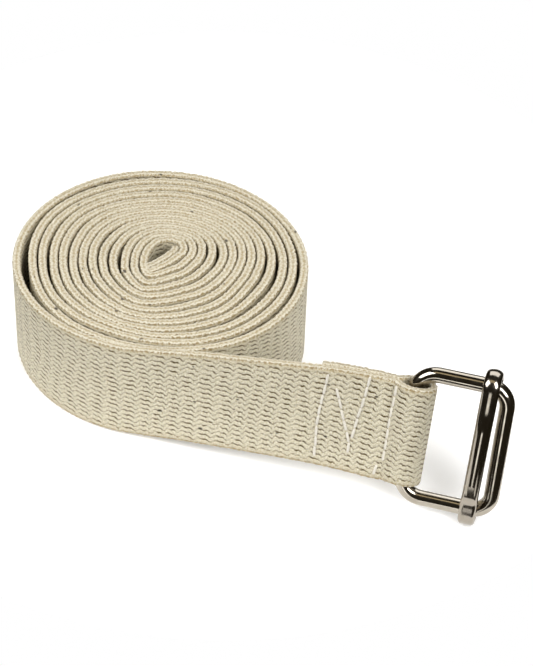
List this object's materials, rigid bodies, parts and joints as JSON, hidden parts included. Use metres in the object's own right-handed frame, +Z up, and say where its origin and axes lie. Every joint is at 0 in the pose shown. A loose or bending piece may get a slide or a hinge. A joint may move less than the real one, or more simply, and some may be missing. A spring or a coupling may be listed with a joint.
{
  "type": "gait belt",
  "caption": "Flat woven cotton strap rolled up on its edge, with a round-wire metal buckle sewn into its outer end and a cross bar that slides along the buckle to grip the strap.",
  "frame": {"origin": "on the surface that the rolled strap stands on, at the axis of the roll", "axes": "+X along the free end of the strap from the roll towards the buckle, +Y from the strap's outer face back through the roll, +Z up"},
  "size_m": [0.1846, 0.1081, 0.0548],
  "materials": {
    "cotton_webbing": "natural undyed cotton, coarse flat weave in wavy lengthwise rows, matt",
    "sewing_thread": "white spun thread, matt",
    "plated_wire": "nickel plated, polished, round wire",
    "plated_bar": "nickel plated, polished, with duller pressed ends"
  },
  "bodies": {
    "strap": {"webbing_roll": "cotton_webbing", "webbing_tail": "cotton_webbing", "webbing_fold": "cotton_webbing", "webbing_hem": "cotton_webbing", "stitching_bar_row": "sewing_thread", "stitching_vee": "sewing_thread", "stitching_end_row": "sewing_thread"},
    "frame": {"buckle_frame": "plated_wire"},
    "slide": {"slide_bar": "plated_bar"}
  },
  "joints": [
    {"name": "buckle_hinge", "type": "hinge", "parent": "strap", "child": "frame", "pos_m": [0.0989, -0.046, 0.0274], "axis": [0, -0.342, -0.9397], "range_deg": [-10, 100]},
    {"name": "slide_travel", "type": "slide", "parent": "frame", "child": "slide", "axis": [1, 0, 0], "range_m": [-0.0155, 0.0006]}
  ]
}
